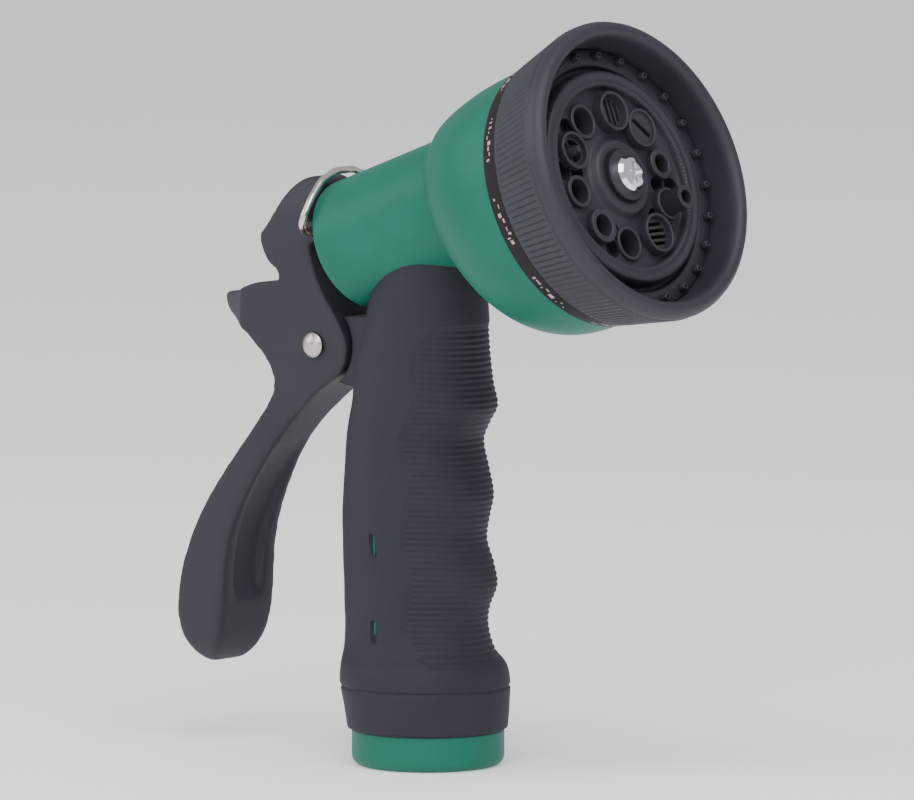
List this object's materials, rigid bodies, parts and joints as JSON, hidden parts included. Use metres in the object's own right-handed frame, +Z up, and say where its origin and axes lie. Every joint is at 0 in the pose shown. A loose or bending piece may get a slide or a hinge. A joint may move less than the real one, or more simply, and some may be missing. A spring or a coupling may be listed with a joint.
{
  "type": "hose spray nozzle",
  "caption": "Pistol-grip garden hose spray nozzle with a rear trigger, a wire hold-open clip and a turning dial of spray patterns.",
  "frame": {"origin": "centre of the hose inlet's mouth, at the bottom of the handle", "axes": "+Z up the handle, +X the way the water leaves, +Y to the left of someone holding the nozzle; the barrel leans 20.5 degrees up from +X"},
  "size_m": [0.136, 0.066, 0.1628],
  "materials": {
    "green_plastic": "satin moulded",
    "soft_black": "soft overmould, matte",
    "lever_black": "fine satin",
    "dial_black": "fine satin",
    "band_black": "satin",
    "insert_black": "satin",
    "white_plastic": "natural",
    "steel_wire": "drawn",
    "steel_pin": "satin",
    "chrome_screw": "polished",
    "brass": "machined",
    "seal_rubber": "smooth"
  },
  "bodies": {
    "body": {"nozzle_body": "green_plastic", "handle_core": "green_plastic", "grip_sleeve": "soft_black", "hose_washer": "seal_rubber", "valve_seat": "white_plastic", "gland_nut": "white_plastic", "rod_o_ring": "seal_rubber", "outlet_manifold": "white_plastic", "manifold_screws": "steel_pin", "manifold_o_ring": "seal_rubber", "post_o_ring": "seal_rubber", "outlet_seal": "seal_rubber", "seal_spring": "steel_wire", "dial_washer": "insert_black", "dial_screw": "chrome_screw", "trigger_pin": "steel_pin", "pin_clip": "steel_pin"},
    "trigger": {"trigger_lever": "lever_black"},
    "rod": {"valve_rod": "brass", "valve_poppet": "brass", "poppet_washer": "seal_rubber", "poppet_nut": "brass", "return_spring": "steel_wire"},
    "knob": {"flow_knob": "brass"},
    "clip": {"hold_clip": "steel_wire"},
    "dial": {"dial_back_plate": "white_plastic", "pattern_band": "band_black", "dial_grip_ring": "dial_black", "spray_face": "dial_black", "soaker_insert": "insert_black", "fan_insert": "insert_black", "jet_tube": "insert_black", "aerator_insert": "insert_black", "mist_insert": "insert_black"},
    "detent": {"detent_ball": "steel_pin", "detent_spring": "steel_wire"}
  },
  "joints": [
    {"name": "trigger_squeeze", "type": "hinge", "parent": "body", "child": "trigger", "pos_m": [-0.0253, 0, 0.0899], "axis": [0, -1, 0], "range_deg": [0, 20], "stiffness_Nm_per_rad": 0.6, "springref_deg": -5.73},
    {"name": "valve_slide", "type": "slide", "parent": "body", "child": "rod", "axis": [-0.9367, 0, -0.3502], "range_m": [0, 0.0074], "deforming": ["return_spring"]},
    {"name": "flow_adjust", "type": "hinge", "parent": "rod", "child": "knob", "pos_m": [-0.03124, 0, 0.107], "axis": [0.9367, 0, 0.3502], "range_deg": [-720, 720]},
    {"name": "hold_clip_swing", "type": "hinge", "parent": "trigger", "child": "clip", "pos_m": [-0.02578, 0, 0.11438], "axis": [0, -1, 0], "range_deg": [0, 12]},
    {"name": "dial_select", "type": "hinge", "parent": "body", "child": "dial", "pos_m": [0.0484, 0, 0.12813], "axis": [0.9367, 0, 0.3502], "continuous": true},
    {"name": "detent_plunge", "type": "slide", "parent": "body", "child": "detent", "axis": [-0.9367, 0, -0.3502], "range_m": [0, 0.0007], "stiffness_N_per_m": 600, "springref_m": -0.0005, "deforming": ["detent_spring"]}
  ],
  "couplings": [
    {"joint": "valve_slide", "follows": "trigger_squeeze", "m_per_rad": 0.0207}
  ]
}
